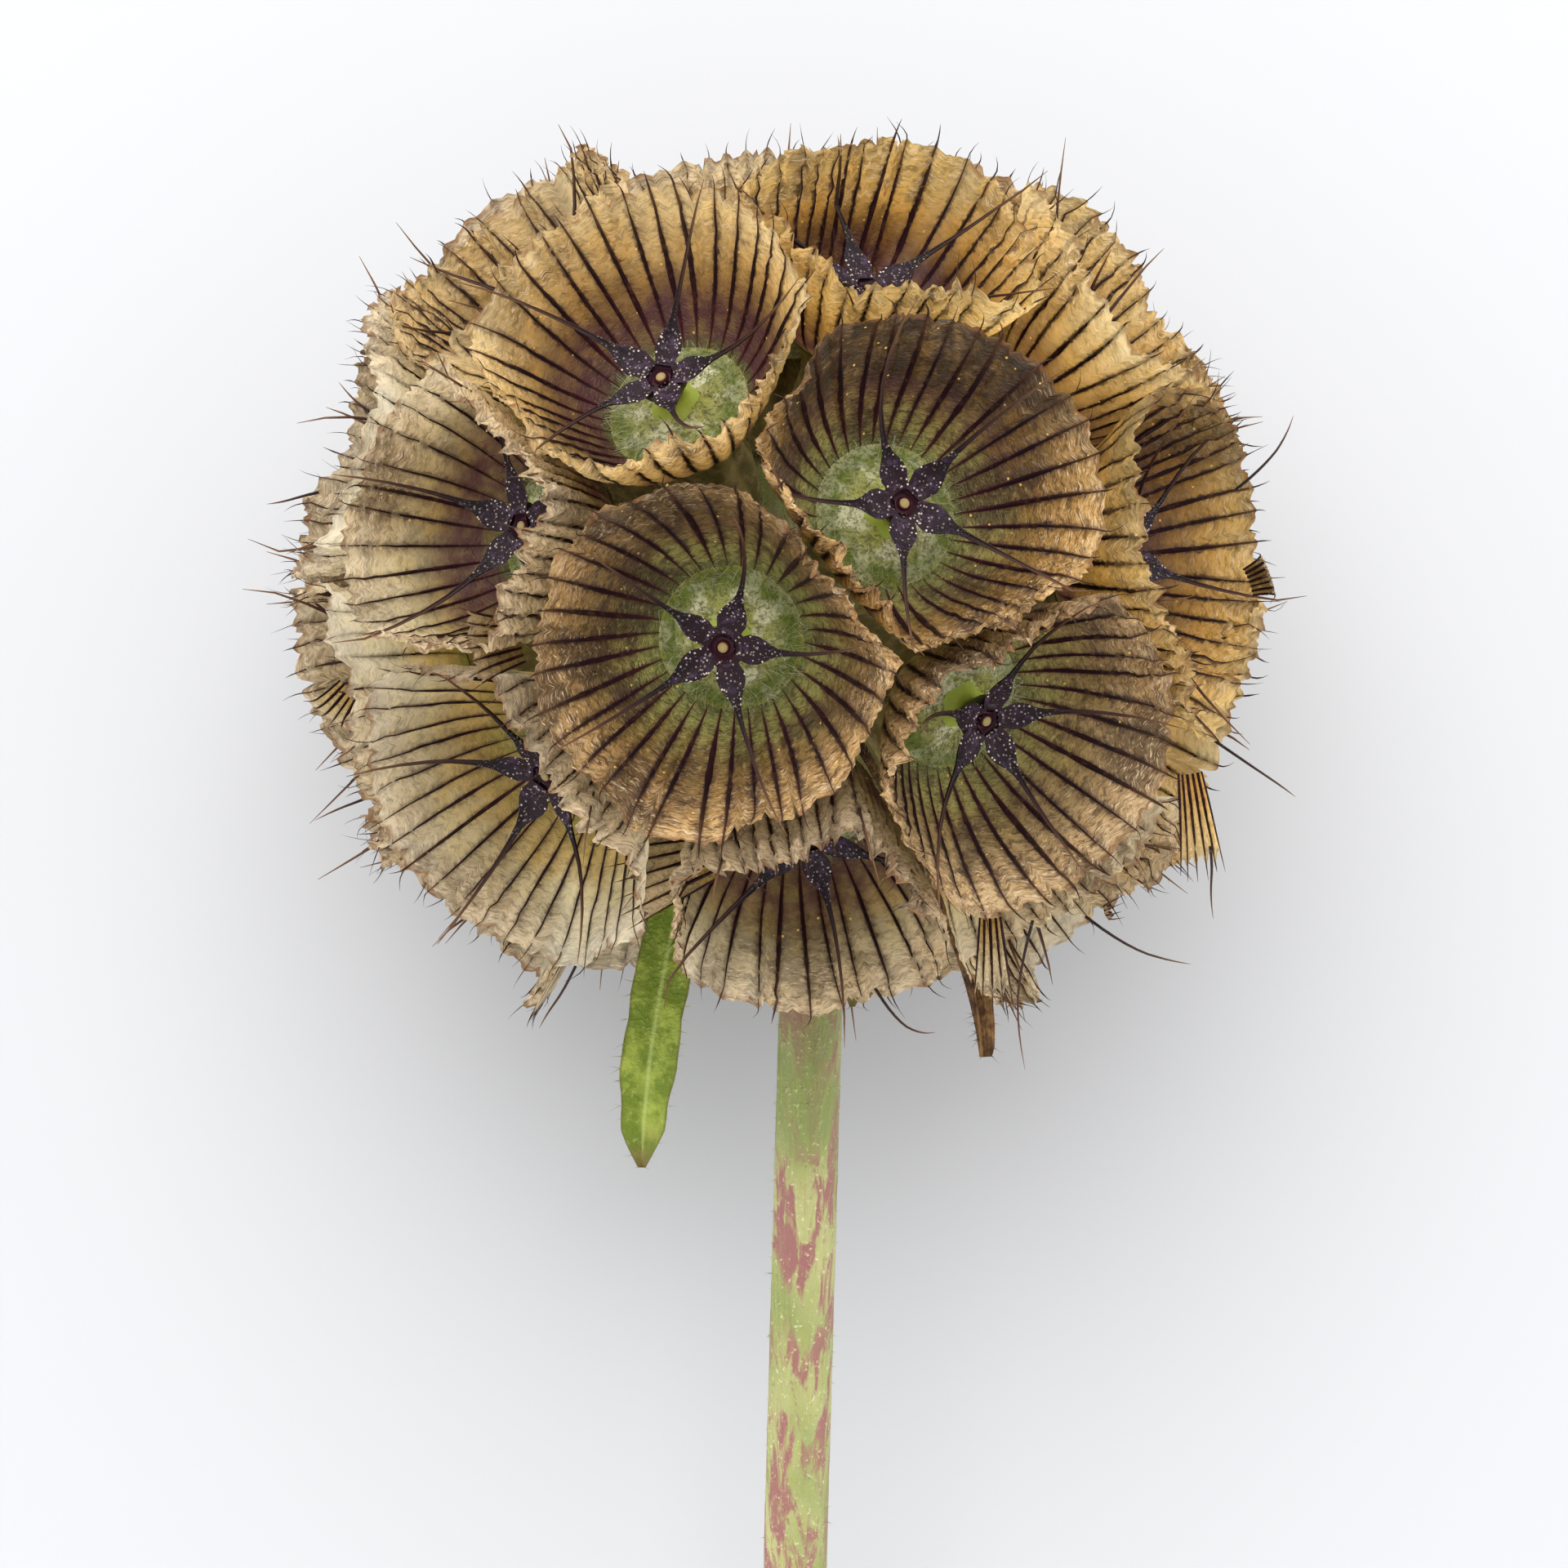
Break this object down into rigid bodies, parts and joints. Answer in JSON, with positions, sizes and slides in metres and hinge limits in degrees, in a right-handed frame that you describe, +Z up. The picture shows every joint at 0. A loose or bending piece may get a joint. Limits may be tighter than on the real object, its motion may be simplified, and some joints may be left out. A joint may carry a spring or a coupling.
{
  "type": "starflower scabious seed head",
  "caption": "Round dried seed head of a starflower scabious on a short cut stem, lying on its side: ribbed papery cups packed into a ball, each with a dark star in it.",
  "frame": {"origin": "centre of the bounding box on the surface that the seed head lies on", "axes": "+Z up from that surface; +Y along the stem from its cut end towards the head; +X to the right as seen from above with the head at the top"},
  "size_m": [0.0376, 0.1042, 0.0352],
  "materials": {
    "papery_cup": "matte dry membrane with dark ribs, green in the middle",
    "calyx_star": "matte dark purple with a fine pale bloom",
    "green_stem": "satin green with purple streaks and fine hairs",
    "dry_bract": "matte dry brown"
  },
  "bodies": {
    "root": {"cup_01": "papery_cup", "cup_02": "papery_cup", "cup_03": "papery_cup", "cup_04": "papery_cup", "cup_05": "papery_cup", "cup_06": "papery_cup", "cup_07": "papery_cup", "cup_08": "papery_cup", "cup_09": "papery_cup", "cup_10": "papery_cup", "cup_11": "papery_cup", "cup_12": "papery_cup", "cup_13": "papery_cup", "cup_14": "papery_cup", "cup_15": "papery_cup", "cup_16": "papery_cup", "cup_17": "papery_cup", "cup_18": "papery_cup", "cup_19": "papery_cup", "cup_20": "papery_cup", "cup_21": "papery_cup", "cup_22": "papery_cup", "cup_23": "papery_cup", "cup_24": "papery_cup", "cup_25": "papery_cup", "cup_26": "papery_cup", "cup_27": "papery_cup", "cup_28": "papery_cup", "cup_29": "papery_cup", "star_01": "calyx_star", "star_02": "calyx_star", "star_03": "calyx_star", "star_04": "calyx_star", "star_05": "calyx_star", "star_06": "calyx_star", "star_07": "calyx_star", "star_08": "calyx_star", "star_09": "calyx_star", "star_10": "calyx_star", "star_11": "calyx_star", "star_12": "calyx_star", "star_13": "calyx_star", "star_14": "calyx_star", "star_15": "calyx_star", "star_16": "calyx_star", "star_17": "calyx_star", "star_18": "calyx_star", "star_19": "calyx_star", "star_20": "calyx_star", "star_21": "calyx_star", "star_22": "calyx_star", "star_23": "calyx_star", "star_24": "calyx_star", "star_25": "calyx_star", "star_26": "calyx_star", "star_27": "calyx_star", "star_28": "calyx_star", "star_29": "calyx_star", "stem": "green_stem", "dry_bract": "dry_bract"}
  },
  "joints": []
}
